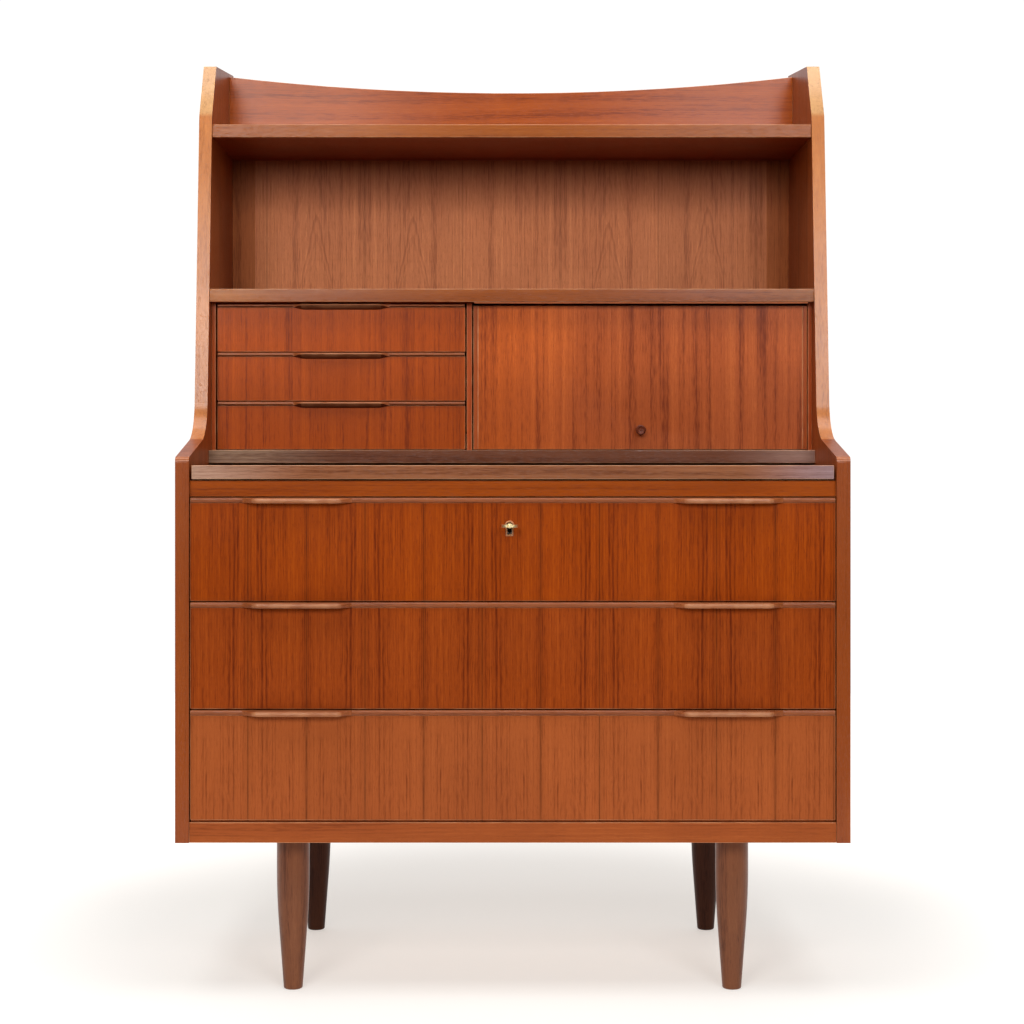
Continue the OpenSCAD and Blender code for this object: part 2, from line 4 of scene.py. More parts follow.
import bmesh
import bpy
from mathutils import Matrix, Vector

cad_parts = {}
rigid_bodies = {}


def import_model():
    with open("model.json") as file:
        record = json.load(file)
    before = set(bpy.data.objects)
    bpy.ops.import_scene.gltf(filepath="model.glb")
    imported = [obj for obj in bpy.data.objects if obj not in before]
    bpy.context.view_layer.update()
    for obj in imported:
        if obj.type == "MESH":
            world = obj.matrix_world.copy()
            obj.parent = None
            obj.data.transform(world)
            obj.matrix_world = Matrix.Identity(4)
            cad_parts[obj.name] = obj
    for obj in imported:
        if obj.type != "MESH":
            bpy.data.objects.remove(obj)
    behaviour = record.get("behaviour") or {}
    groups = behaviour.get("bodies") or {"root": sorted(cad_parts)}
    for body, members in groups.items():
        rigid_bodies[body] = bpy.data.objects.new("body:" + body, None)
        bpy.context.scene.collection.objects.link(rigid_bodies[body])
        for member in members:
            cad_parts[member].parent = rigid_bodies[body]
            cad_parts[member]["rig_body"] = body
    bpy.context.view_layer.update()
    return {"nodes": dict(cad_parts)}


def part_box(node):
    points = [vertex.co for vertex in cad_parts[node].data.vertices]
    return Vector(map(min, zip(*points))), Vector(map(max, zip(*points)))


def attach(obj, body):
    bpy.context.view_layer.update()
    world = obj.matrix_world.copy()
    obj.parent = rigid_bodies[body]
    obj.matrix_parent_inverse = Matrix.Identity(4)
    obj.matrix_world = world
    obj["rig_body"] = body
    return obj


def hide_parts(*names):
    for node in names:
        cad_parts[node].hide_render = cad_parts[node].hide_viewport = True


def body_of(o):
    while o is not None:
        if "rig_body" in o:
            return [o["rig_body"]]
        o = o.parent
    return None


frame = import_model()

MM = 0.001

# ---------------------------------------------------------------- tones


def tone(code):
    """A colour written as six hex digits, as the linear colour that shaders take."""
    parts = [int(code[i:i + 2], 16) / 255 for i in (0, 2, 4)]
    return tuple(c / 12.92 if c <= 0.04045 else ((c + 0.055) / 1.055) ** 2.4 for c in parts) + (1.0,)


def cut(code, lively=1.0):
    """Dark streak, ground and light streak of one cut of teak, from the tone of its ground."""
    ground = tone(code)
    dark = tuple(c * (1 - lively * fall) for c, fall in zip(ground, (0.52, 0.62, 0.66))) + (1.0,)
    light = tuple(c * (1 + lively * rise) for c, rise in zip(ground, (0.24, 0.36, 0.40))) + (1.0,)
    return dark, ground, light


# The lowest drawer's paler, pinker ground is partly its own veneer and partly a painted reflection of the
# floor
FRONT_TEAK = {1: cut("923b04", 1.1), 2: cut("913d0d", 1.1), 3: cut("a25226", 1.1)}
SMALL_TEAK = cut("a04306", 1.1)
FLAP_TEAK = cut("a9501e", 1.15)
BACK_TEAK = cut("cd7b4c")
SIDE_TEAK = cut("94481f")
EDGE_TEAK = cut("8e4318", 0.8)
CREST_TEAK = cut("9e480b")
SHELF_TEAK = cut("944b0e")
LOW_SHELF_TEAK = cut("884313")
SHELF_TOP_TEAK = cut("8c481f")
# Painted shade: the shelves' undersides take a darker tone than the rest of the same teak
UNDERSIDE_SHADE_TEAK = cut("7a290a")
DESK_TEAK = cut("653923")
LIP_TEAK = cut("904e2a")
LEAF_TEAK = cut("8b5536")
RAIL_TEAK = cut("a14804")
FLAP_EDGE_TEAK = cut("a04a1e")
UPRIGHT_TEAK = cut("a5471b")
FOOT_TEAK = cut("9a4c21")
LEG_TEAK = cut("764428")
# Painted shade: the rear legs are the same teak as the front ones, given a darker tone for the desk's shadow
REAR_LEG_SHADE_TEAK = cut("422213")
KNOB_TEAK = cut("6a3322")
# Painted shade: a darker tone for the small pulls' undersides, where shadow falls
PULL_UNDERSIDE_SHADE_TEAK = cut("4c1f0d")
BEECH = (tone("a37649"), tone("c79d6c"), tone("d8b585"))
PLY = (tone("95633c"), tone("b48256"), tone("c69869"))
# The pale colour of arrises: rubbing, and a painted highlight where light catches the rounding
ARRIS_WEAR_AND_HIGHLIGHT = tone("e2a87a")
GLUE_LINE = tone("3a1605")
BRASS = tone("d9ab55")
RIM_BRASS = tone("c48a66")
KEY_BRASS = tone("f3e2b4")
BLACKENED = tone("2a1c10")
BRASS_DULL = tone("8f6a33")
STEEL = tone("b4b2ae")
STEEL_DULL = tone("6f6c68")
LOCK_DULL = tone("120c08")
PIN_STEEL = tone("4a3a2e")
FLOOR_GREY = (tone("c3c2c0"), tone("c0bfbd"))

# ---------------------------------------------------------------- recipes for finishes


class Recipe:
    """One finish's node tree. Numbers, colours and other nodes' outputs all go in the same way."""

    def __init__(self, name):
        self.material = bpy.data.materials.new(name)
        self.material.use_nodes = True
        self.tree = self.material.node_tree
        self.shader = self.tree.nodes["Principled BSDF"]
        self.place = self.tree.nodes.new("ShaderNodeTexCoord").outputs["Object"]

    def put(self, socket, value):
        if isinstance(value, bpy.types.NodeSocket):
            self.tree.links.new(value, socket)
        else:
            socket.default_value = value

    def node(self, kind, values, **settings):
        made = self.tree.nodes.new(kind)
        for key, value in settings.items():
            setattr(made, key, value)
        for slot, value in enumerate(values):
            self.put(made.inputs[slot], value)
        return made.outputs[0]

    def math(self, operation, *values):
        return self.node("ShaderNodeMath", values, operation=operation)

    def add(self, a, b):
        return self.math("ADD", a, b)

    def times(self, a, b):
        return self.math("MULTIPLY", a, b)

    def less(self, a, b):
        return self.math("SUBTRACT", a, b)

    def split(self, vector):
        made = self.tree.nodes.new("ShaderNodeSeparateXYZ")
        self.put(made.inputs[0], vector)
        return made.outputs[0], made.outputs[1], made.outputs[2]

    def join(self, x, y, z):
        return self.node("ShaderNodeCombineXYZ", (x, y, z))

    def noise(self, vector, scale=1.0, detail=2.0, roughness=0.5):
        made = self.tree.nodes.new("ShaderNodeTexNoise")
        self.put(made.inputs["Vector"], vector)
        made.inputs["Scale"].default_value = scale
        made.inputs["Detail"].default_value = detail
        made.inputs["Roughness"].default_value = roughness
        return made.outputs[0]

    def drawn_out(self, side, deep, along, cells, detail=2.0, roughness=0.5):
        """Noise drawn out along the grain, from its cells per metre across and along it."""
        wide, long = cells
        place = self.join(self.times(side, wide), self.times(deep, wide), self.times(along, long))
        return self.noise(place, 1.0, detail, roughness)

    def chance(self, number):
        """A random number from 0 to 1 for each whole number."""
        made = self.tree.nodes.new("ShaderNodeTexWhiteNoise")
        made.noise_dimensions = "1D"
        self.put(made.inputs["W"], number)
        return made.outputs["Value"]

    def band(self, value, low, high, ends=(0.0, 1.0)):
        """A smooth step between two values."""
        made = self.tree.nodes.new("ShaderNodeMapRange")
        made.interpolation_type = "SMOOTHSTEP"
        for slot, number in enumerate((value, low, high) + tuple(ends)):
            self.put(made.inputs[slot], number)
        return made.outputs[0]

    def ramp(self, value, stops):
        made = self.tree.nodes.new("ShaderNodeValToRGB")
        self.put(made.inputs[0], value)
        keys = made.color_ramp.elements
        while len(keys) < len(stops):
            keys.new(0.5)
        for key, (at, colour) in zip(keys, stops):
            key.position = at
            key.color = colour
        return made.outputs[0]

    def mix(self, factor, a, b, blend="MIX"):
        made = self.tree.nodes.new("ShaderNodeMix")
        made.data_type = "RGBA"
        made.blend_type = blend
        self.put(made.inputs[0], factor)
        self.put(made.inputs[6], a)
        self.put(made.inputs[7], b)
        return made.outputs[2]

    def bump(self, height, distance, strength):
        made = self.tree.nodes.new("ShaderNodeBump")
        made.inputs["Strength"].default_value = strength
        made.inputs["Distance"].default_value = distance
        self.put(made.inputs["Height"], height)
        self.put(self.shader.inputs["Normal"], made.outputs[0])

    def arris(self):
        """How far a point is round the rounded edge of its piece, from 0 on a face to 1."""
        made = self.tree.nodes.new("ShaderNodeAttribute")
        made.attribute_name = "arris"
        return made.outputs["Fac"]

    def finish(self, colour, roughness, specular, metal=0.0):
        self.put(self.shader.inputs["Base Color"], colour)
        self.put(self.shader.inputs["Roughness"], roughness)
        self.shader.inputs["Specular IOR Level"].default_value = specular
        self.shader.inputs["Metallic"].default_value = metal
        return self.material


# Cells of noise per metre, across and along the grain
DRIFT_CELLS = (9, 2.2)
BROAD_CELLS = (60, 1.4)
FINE_CELLS = (340, 3.0)
HAIR_CELLS = (950, 60)
PORE_CELLS = (1900, 120)
PLY_CELLS = (500, 9)

# How far the grain drifts, how much of the noise either side of its middle shows, and the pores' depth
DRIFT = 12 * MM
SPREAD = 0.22
PORE_DEPTH = 0.12 * MM

# The width of the flame's first arch, and how far from the heart it is gone and is whole
ARCH_WIDTH = 5.5 * MM
FLAME_WIDTH = (48 * MM, 14 * MM)

# How far from the joint of two leaves the seam starts and is dark, and how far its soft shade goes
SEAM_WIDTH = (1.2 * MM, 0.2 * MM)
SEAM_SHADE_WIDTH = 7 * MM
BORDER_TINT = (0.74, 0.62, 0.42, 1.0)


def oiled_wood(name, tones, grain="Z", across="X", leaf=0.0, leaf_from=0.0, joint=0.5, figure=0.0,
               figure_long=0.016, figure_zone=None, figure_gap=0.0, streak=0.3, contrast=1.2, wander=1.0,
               painted_fades=(), border=None, seed=0.0, gloss=(0.26, 0.36), specular=0.14, wear_and_highlight=0.7, relief=0.5):
    """Oiled wood: streaks, pores and worn edges, and, on veneer, book-matched leaves with a flame figure.

    grain and across are the frame's axes along and across the grain. leaf is the width of one leaf
    of veneer, leaf_from where the first one starts, and joint how dark the seams are. figure is how
    strongly the flame shows, figure_long the length of its arches, figure_zone the stretch of the
    grain where it ends and starts, and figure_gap half the width of the plain leaf in the middle.
    streak is the share of the broad streaks, contrast how far apart dark and light lie, and wander
    how much the grain swerves. A fade is painted light and shade: an axis and two places on it, each
    with its own tint, and border is how far from the middle the darker strips at the two sides start.
    gloss is the roughness from and to, wear how pale the arrises are painted, rubbed pale and lit by a
    painted highlight, and relief how deep the pores feel.
    """
    w = Recipe(name)
    axis = dict(zip("XYZ", w.split(w.place)))
    through = axis[({"X", "Y", "Z"} - {grain, across}).pop()]
    along = axis[grain]
    side = axis[across]
    deep = w.add(through, seed)

    # Each leaf is the mirror of the one before it, and has its own depth of colour
    if leaf:
        shifted = w.less(side, leaf_from)
        side = w.math("PINGPONG", shifted, leaf)
        number = w.math("FLOOR", w.math("DIVIDE", shifted, leaf))
        leaf_tone = w.chance(w.add(number, seed * 7 + 0.5))
        along = w.add(along, w.times(leaf_tone, 0.03))
        to_joint = w.math("MINIMUM", side, w.less(leaf, side))
    heart = w.less(side, leaf / 2)

    # The grain wanders slowly as it runs
    drift = w.less(w.drawn_out(side, deep, along, DRIFT_CELLS), 0.5)
    side = w.add(side, w.times(drift, DRIFT * wander))

    # Broad, narrow and hair-thin streaks, then pores as short dark dashes
    broad = w.drawn_out(side, deep, along, BROAD_CELLS)
    fine = w.drawn_out(side, deep, along, FINE_CELLS, 3.0, 0.65)
    hair = w.drawn_out(side, deep, along, HAIR_CELLS)
    pores = w.band(w.drawn_out(side, deep, along, PORE_CELLS, 1.0), 0.58, 0.7)
    value = w.add(w.times(broad, streak), w.times(fine, 0.7 - streak))
    value = w.add(value, w.times(hair, 0.3))
    value = w.band(value, 0.5 - SPREAD / contrast, 0.5 + SPREAD / contrast)

    # The flame: arches of late wood, one over the other, running out into straight lines
    if figure:
        swerve = w.noise(w.join(w.times(heart, 28), deep, w.times(along, 10)), 1.0, 3.0)
        round_heart = w.math("SQRT", w.add(w.math("POWER", w.times(heart, 1 / ARCH_WIDTH), 2.0), 0.6))
        rings = w.add(w.add(round_heart, w.times(along, 1 / figure_long)), w.times(swerve, 3.4))
        late = w.math("FRACT", rings)
        line = w.times(w.band(late, 0.0, 0.62), w.band(late, 1.0, 0.8))
        strength = w.band(w.chance(w.math("FLOOR", rings)), 0.0, 1.0, (0.2, 1.0))
        near = w.band(w.math("ABSOLUTE", heart), *FLAME_WIDTH)
        flame = w.times(w.times(line, strength), w.times(near, 0.62 * figure))
        if figure_zone:
            flame = w.times(flame, w.band(axis[grain], *figure_zone))
        if figure_gap:
            flame = w.times(flame, w.band(w.math("ABSOLUTE", axis[across]), figure_gap, figure_gap * 1.2))
        value = w.times(value, w.less(1.0, flame))

    dark, ground, light = tones
    colour = w.ramp(value, ((0.0, dark), (0.45, ground), (0.62, ground), (1.0, light)))
    if leaf:
        depth = w.add(0.92, w.times(leaf_tone, 0.12))
        colour = w.mix(1.0, colour, w.join(depth, depth, depth), "MULTIPLY")
        broken = w.band(w.noise(w.place, 30.0), 0.3, 0.6, (0.4, 1.0))
        seam = w.times(w.band(to_joint, *SEAM_WIDTH), broken)
        shade = w.times(w.band(to_joint, SEAM_SHADE_WIDTH, 0.0), 0.3)
        colour = w.mix(w.times(w.add(seam, shade), joint), colour, GLUE_LINE)
    # Painted light and shade: each fade tints the wood along an axis, as light, sheen and shadow fall
    for way, start, first, end, last in painted_fades:
        tint = w.mix(w.band(axis[way], start, end), first + (1.0,), last + (1.0,))
        colour = w.mix(1.0, colour, tint, "MULTIPLY")
    if border:
        past = w.band(w.math("ABSOLUTE", axis[across]), border, border + MM)
        colour = w.mix(past, colour, w.mix(1.0, colour, BORDER_TINT, "MULTIPLY"))
    cloud = w.noise(w.place, 7.0, 2.0)
    colour = w.mix(w.times(w.band(cloud, 0.35, 0.7), 0.16), colour, dark)
    colour = w.mix(w.times(pores, 0.4), colour, dark)
    # Arrises are painted pale: partly rubbed, partly a painted highlight where light catches them
    rubbed_and_lit = w.times(w.arris(), w.band(w.noise(w.place, 45.0, 2.0), 0.25, 0.75, (0.3, 1.0)))
    colour = w.mix(w.times(rubbed_and_lit, wear_and_highlight), colour, ARRIS_WEAR_AND_HIGHLIGHT)

    low, high = gloss
    rough = w.add(low, w.times(w.noise(w.place, 12.0, 3.0), (high - low) * 1.2))
    rough = w.add(rough, w.times(pores, 0.12))
    w.bump(w.less(w.times(fine, 0.5), pores), PORE_DEPTH, relief)
    return w.finish(colour, rough, specular)


def ply_face(name, across, seed):
    """Unfinished rotary-cut ply with its grain from side to side: wide wavy figure, dull and dry."""
    w = Recipe(name)
    axis = dict(zip("XYZ", w.split(w.place)))
    through = axis[({"Y", "Z"} - {across}).pop()]
    place = w.join(w.times(axis[across], 9), w.add(through, seed), w.times(axis["X"], 0.8))
    swell = w.noise(place)
    rings = w.math("FRACT", w.times(swell, 17))
    line = w.times(w.band(rings, 0.0, 0.75), w.band(rings, 1.0, 0.8))
    fine = w.drawn_out(axis[across], through, axis["X"], PLY_CELLS)
    value = w.less(w.add(w.times(fine, 0.9), 0.1), w.times(line, 0.3))
    dark, ground, light = PLY
    colour = w.ramp(value, ((0.1, dark), (0.5, ground), (0.85, light)))
    colour = w.mix(w.times(w.noise(w.place, 5.0, 3.0), 0.3), colour, dark)
    w.bump(fine, 0.2 * MM, 0.5)
    return w.finish(colour, w.add(0.5, w.times(fine, 0.25)), 0.3)


def metal(name, bright, dull, smooth):
    """Old metal, duller in patches, with a fine wear all over. smooth is its least roughness."""
    w = Recipe(name)
    tarnish = w.noise(w.place, 260.0, 4.0, 0.6)
    rubbing = w.noise(w.place, 900.0)
    colour = w.mix(w.band(tarnish, 0.42, 0.75), bright, dull)
    rough = w.add(smooth, w.times(w.add(w.times(tarnish, 0.6), rubbing), 0.16))
    w.bump(rubbing, 0.04 * MM, 0.5)
    return w.finish(colour, rough, 0.5, metal=1.0)


# The inside's half width, the sides' front plane, and one of the eleven leaves on a wide drawer
HALF_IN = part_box("bottom_board")[1].x
FRONT_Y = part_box("side_left")[0].y
LEAF_W = (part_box("drawer_2_front")[1].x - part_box("drawer_2_front")[0].x) / 11

# Painted light and shade: boards paler or darker towards one end, as light, sheen and shadow fall on them: an
# axis, and two places on it with their tints
# These are metres from the desk's middle, or from the floor
PLAIN = (1.0, 1.0, 1.0)
BOARD_END = 0.46
PALE_FROM = 0.3
SHOULDER_Z = 0.747
CORNER_Z = 1.252
# Painted glint: the lip finish turns much paler above this height, on the top small drawer's lip and the
# flap's bead
LIP_GLINT = ("Z", 0.95, PLAIN, 0.96, (1.9, 2.0, 2.3))
# Painted sheen: the desk board, the writing board's edge and the bay shelf are paler and greyer towards both
# ends
DESK_END_SHEEN = [("X", -BOARD_END, (2.1, 4.2, 6.5), -0.22, PLAIN),
              ("X", PALE_FROM, PLAIN, BOARD_END, (2.1, 3.9, 7.5))]
LEAF_END_SHEEN = [("X", -BOARD_END, (1.75, 2.9, 5.0), -0.27, PLAIN),
              ("X", PALE_FROM, PLAIN, BOARD_END, (1.08, 1.9, 4.8))]
SHELF_END_SHEEN = [("X", -BOARD_END, (1.35, 1.7, 1.95), -PALE_FROM, PLAIN),
               ("X", PALE_FROM, PLAIN, BOARD_END, (1.1, 1.35, 1.6))]
# Painted sheen: the flap is warmer to the left and bluer to the right
FLAP_SHEEN = ("X", -0.05, (1.14, 1.08, 0.72), 0.16, (0.96, 1.0, 1.3))
# Painted light: the small drawers and the flap are darker low down and lighter at the top
HUTCH_TOP_LIGHT = ("Z", 0.79, (0.93, 0.92, 0.92), 0.95, (1.22, 1.2, 1.15))
# Painted highlights: the sides' front edges are paler at the shoulder and at the upper corner
EDGE_HIGHLIGHTS = [("Z", SHOULDER_Z - 0.01, PLAIN, SHOULDER_Z, (1.5, 2.0, 2.7)),
              ("Z", SHOULDER_Z, PLAIN, SHOULDER_Z + 0.043, (1.23, 1.55, 2.0)),
              ("Z", CORNER_Z, PLAIN, CORNER_Z + 0.01, (1.25, 1.9, 2.8))]
# Painted shadow: the bay's back is darker at the top, under the top shelf
BAY_SHELF_SHADOW = ("Z", 1.1, PLAIN, 1.23, (0.66, 0.6, 0.6))

# Every finish, by the name that the pieces ask for
FINISH = {
    f"front_{k}": oiled_wood(f"wide_drawer_{k}_veneer", FRONT_TEAK[k], leaf=LEAF_W, leaf_from=-HALF_IN,
                             figure=0.3, figure_long=0.022, figure_zone=(0.36, 0.27), streak=0.26,
                             contrast={1: 1.4, 2: 1.35, 3: 0.85}[k], wander=0.5, seed=3.0, specular=0.12)
    for k in (1, 2, 3)
}
FINISH |= {
    "small_front": oiled_wood("small_drawer_veneer", SMALL_TEAK, streak=0.28, wander=0.6, contrast=1.2,
                              painted_fades=[HUTCH_TOP_LIGHT], seed=11.0),
    "flap": oiled_wood("flap_veneer", FLAP_TEAK, streak=0.44, wander=0.4, contrast=1.4,
                       painted_fades=[FLAP_SHEEN, HUTCH_TOP_LIGHT], seed=5.0),
    "back": oiled_wood("hutch_back_veneer", BACK_TEAK, leaf=0.157, leaf_from=-0.5485, joint=0.2, figure=0.9,
                       figure_long=0.028, figure_gap=0.075, painted_fades=[BAY_SHELF_SHADOW], border=0.41, seed=7.0,
                       gloss=(0.4, 0.5)),
    "side": oiled_wood("side_veneer", SIDE_TEAK, across="Y", leaf=0.15, leaf_from=FRONT_Y, joint=0.3,
                       figure=0.8, figure_long=0.03, seed=2.0),
    "side_edge": oiled_wood("side_edge_teak", EDGE_TEAK, contrast=0.9, painted_fades=EDGE_HIGHLIGHTS, seed=21.0,
                            gloss=(0.2, 0.28), specular=0.38),
    "board": oiled_wood("shelf_veneer", SHELF_TEAK, grain="X", across="Y", streak=0.35, seed=9.0,
                        gloss=(0.2, 0.28), specular=0.2),
    "low_board": oiled_wood("low_shelf_veneer", LOW_SHELF_TEAK, grain="X", across="Y", streak=0.35, seed=19.0,
                            painted_fades=SHELF_END_SHEEN, gloss=(0.16, 0.24), specular=0.3),
    "shelf_top": oiled_wood("shelf_top_veneer", SHELF_TOP_TEAK, grain="X", across="Y", streak=0.35,
                            contrast=1.4, seed=26.0, gloss=(0.2, 0.28)),
    "under": oiled_wood("shelf_underside_shaded_veneer", UNDERSIDE_SHADE_TEAK, grain="X", across="Y", streak=0.35, seed=23.0),
    "desk": oiled_wood("desk_board_veneer", DESK_TEAK, grain="X", across="Y", streak=0.35, seed=4.0,
                       painted_fades=DESK_END_SHEEN, gloss=(0.16, 0.24), specular=0.3),
    "crest": oiled_wood("crest_veneer", CREST_TEAK, grain="X", across="Z", streak=0.35, seed=6.0,
                        gloss=(0.18, 0.26), specular=0.22, relief=0.12),
    "rail": oiled_wood("rail_teak", RAIL_TEAK, grain="X", across="Z", contrast=0.9, seed=8.0),
    "foot_rail": oiled_wood("foot_rail_teak", FOOT_TEAK, grain="X", across="Z", contrast=0.9, seed=20.0),
    "leaf": oiled_wood("leaf_veneer", LEAF_TEAK, grain="X", across="Y", leaf=0.143, leaf_from=FRONT_Y,
                       joint=0.3, figure=0.7, figure_long=0.035, seed=12.0),
    "leaf_edge": oiled_wood("leaf_edge_teak", LEAF_TEAK, grain="X", across="Z", streak=0.35, seed=13.0,
                            painted_fades=LEAF_END_SHEEN, gloss=(0.18, 0.26), specular=0.25),
    "lip": oiled_wood("lip_teak", LIP_TEAK, grain="X", across="Z", streak=0.35, seed=14.0,
                      painted_fades=[LIP_GLINT], gloss=(0.22, 0.32), specular=0.24, wear_and_highlight=0.6),
    "shaded_pull_underside": oiled_wood("small_pull_shaded_underside_teak", PULL_UNDERSIDE_SHADE_TEAK, grain="X", across="Z", streak=0.35, seed=25.0),
    "flap_edge": oiled_wood("flap_edge_teak", FLAP_EDGE_TEAK, seed=24.0),
    "upright": oiled_wood("upright_teak", UPRIGHT_TEAK, seed=15.0),
    "leg": oiled_wood("leg_teak", LEG_TEAK, streak=0.35, seed=16.0, specular=0.25),
    "shaded_rear_leg": oiled_wood("back_leg_shaded_teak", REAR_LEG_SHADE_TEAK, streak=0.35, seed=22.0, specular=0.1),
    "knob": oiled_wood("knob_teak", KNOB_TEAK, grain="Y", across="X", seed=17.0),
    "box": oiled_wood("drawer_side_beech", BEECH, grain="Y", across="Z", streak=0.5, seed=18.0,
                      gloss=(0.45, 0.6), specular=0.3, wear_and_highlight=0.15),
    "box_back": oiled_wood("drawer_back_beech", BEECH, grain="X", across="Z", streak=0.5, seed=19.0,
                           gloss=(0.45, 0.6), specular=0.3, wear_and_highlight=0.15),
    "ply": ply_face("back_ply", across="Z", seed=1.0),
    "bottom_ply": ply_face("drawer_bottom_ply", across="Y", seed=2.0),
    "brass": metal("aged_brass", BRASS, BRASS_DULL, 0.18),
    "rim": metal("keyhole_rim_brass", RIM_BRASS, BRASS_DULL, 0.3),
    "key": metal("key_brass", KEY_BRASS, BRASS, 0.32),
    "lock": metal("blackened_lock_brass", BLACKENED, LOCK_DULL, 0.5),
    "steel": metal("zinc_steel", STEEL, STEEL_DULL, 0.3),
    "pin": metal("browned_steel", PIN_STEEL, BLACKENED, 0.4),
}

# ---------------------------------------------------------------- making pieces

# How round arrises are, and the smallest faces, in square metres, whose edges are eased
ARRIS = 0.9 * MM
STRIP_ARRIS = 0.7 * MM
METAL_ARRIS = 0.35 * MM
SMALLEST_PLANED = 3e-5
SMALLEST_STRIP_END = 1e-6
SMALLEST_FILED = 1e-7

# Angles between faces: shaded smooth below the first, eased above the second, made one below the third
SMOOTH_BELOW = math.radians(38)
EASED_ABOVE = math.radians(25)
FLAT_BELOW = math.radians(0.4)

# Distances below which points are merged, lie on the same line, or lie on the same side
MERGE = 0.01 * MM
TOUCH = 0.001 * MM
NEAR = 0.1 * MM


def piece_from(bm, name, finish, node, stands_for=None):
    """Turns a bmesh into a finished piece on the body of a node, which it stands for unless told."""
    mesh = bpy.data.meshes.new(name)
    bm.to_mesh(mesh)
    bm.free()
    for face in mesh.polygons:
        face.use_smooth = True
    mesh.set_sharp_from_angle(angle=SMOOTH_BELOW)
    mesh.materials.append(FINISH[finish])
    made = bpy.data.objects.new(name, mesh)
    bpy.context.scene.collection.objects.link(made)
    flat = made.modifiers.new("flat faces stay flat", "WEIGHTED_NORMAL")
    flat.keep_sharp = True
    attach(made, body_of(frame["nodes"][node])[0])
    for hidden in (node,) if stands_for is None else stands_for:
        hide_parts(hidden)
    return made


def round_edges(bm, edges, radius, segments=3, wear_and_highlight=1.0):
    """Rounds the edges and marks how far each new point is round them, with how pale it is painted: rubbed,
    and a painted highlight.
    """
    layer = bm.verts.layers.float.get("arris") or bm.verts.layers.float.new("arris")
    made = bmesh.ops.bevel(bm, geom=edges, offset=radius, offset_type="OFFSET", segments=segments,
                           profile=0.5, affect="EDGES", clamp_overlap=True, material=-1)
    curved = set(made["faces"])
    for vert in made["verts"]:
        if all(face in curved for face in vert.link_faces):
            vert[layer] = wear_and_highlight


def planed(bm, node):
    """Puts a part of the frame into a bmesh as whole flat faces."""
    bm.from_mesh(frame["nodes"][node].data)
    bmesh.ops.remove_doubles(bm, verts=bm.verts, dist=MERGE)
    bmesh.ops.dissolve_limit(bm, angle_limit=FLAT_BELOW, verts=bm.verts, edges=bm.edges)


def sharp_edges(bm, least_face=SMALLEST_PLANED):
    """The edges between two faces that both are large enough, in square metres, to be worked."""
    return [
        edge for edge in bm.edges
        if len(edge.link_faces) == 2
        and edge.calc_face_angle() > EASED_ABOVE
        and min(face.calc_area() for face in edge.link_faces) > least_face
    ]


def joiner_copy(node, name, finish):
    """A part of the frame with its long edges eased."""
    bm = bmesh.new()
    planed(bm, node)
    round_edges(bm, sharp_edges(bm), ARRIS)
    return piece_from(bm, name, finish, node)


def face_finish(mesh, finish, chosen):
    """Gives the faces whose normals are chosen a finish of their own."""
    mesh.materials.append(FINISH[finish])
    for face in mesh.polygons:
        if chosen(face.normal):
            face.material_index = len(mesh.materials) - 1


def loft(bm, stations, outline):
    """Draws a closed outline along X from station to station, and closes both ends."""
    rim = None
    for x in stations:
        points = outline(x)
        if rim is None:
            rim = [bm.verts.new((x, y, z)) for y, z in points]
            ring = [bm.edges.new((rim[i - 1], rim[i])) for i in range(len(rim))]
            bmesh.ops.contextual_create(bm, geom=ring)
            continue
        drawn = bmesh.ops.extrude_edge_only(bm, edges=ring)["geom"]
        fresh = {item for item in drawn if isinstance(item, bmesh.types.BMVert)}
        rim = [next(e.other_vert(v) for e in v.link_edges if e.other_vert(v) in fresh) for v in rim]
        for vert, (y, z) in zip(rim, points):
            vert.co = (x, y, z)
        ring = [item for item in drawn if isinstance(item, bmesh.types.BMEdge)
                and item.verts[0] in fresh and item.verts[1] in fresh]
    bmesh.ops.contextual_create(bm, geom=ring)


def turned(bm, profile, centre, axis, steps):
    """Spins a profile of (radius, place along the axis) right round."""
    axis = Vector(axis)
    outward = axis.orthogonal().normalized()
    verts = [bm.verts.new(Vector(centre) + outward * r + axis * h) for r, h in profile]
    edges = [bm.edges.new(pair) for pair in zip(verts, verts[1:])]
    bmesh.ops.spin(bm, geom=verts + edges, cent=centre, axis=axis, dvec=(0, 0, 0),
                   angle=2 * math.pi, steps=steps, use_merge=True, use_duplicate=False)
    bmesh.ops.remove_doubles(bm, verts=bm.verts, dist=TOUCH)
    bmesh.ops.recalc_face_normals(bm, faces=bm.faces)


def arc(centre, radius, start, end, steps):
    """Points of an arc, angles in degrees."""
    turns = [math.radians(start + (end - start) * i / steps) for i in range(steps + 1)]
    return [(centre[0] + radius * math.cos(a), centre[1] + radius * math.sin(a)) for a in turns]


# ---------------------------------------------------------------- carcass boards

# Each board's node, with its piece's name, finish and slot
BOARDS = {
    "side_left": ("left_side", "side", "teak_veneer"),
    "side_right": ("right_side", "side", "teak_veneer"),
    "bottom_rail": ("plinth_rail", "foot_rail", "teak_solid"),
    "top_rail": ("rail_under_leaf", "rail", "teak_solid"),
    "desk_board": ("hutch_floor", "desk", "teak_veneer"),
    "middle_shelf": ("bay_shelf", "low_board", "teak_veneer"),
    "top_shelf": ("tray_shelf", "board", "teak_veneer"),
    "crest_rail": ("crest", "crest", "teak_veneer"),
    "liner_left": ("left_lining", "upright", "teak_veneer"),
    "liner_right": ("right_lining", "upright", "teak_veneer"),
    "partition": ("drawer_partition", "upright", "teak_veneer"),
    "leaf_board": ("writing_board", "leaf", "teak_veneer"),
    "leaf_edge": ("writing_board_edge", "leaf_edge", "teak_solid"),
    "flap_panel": ("flap_board", "flap", "teak_veneer"),
}
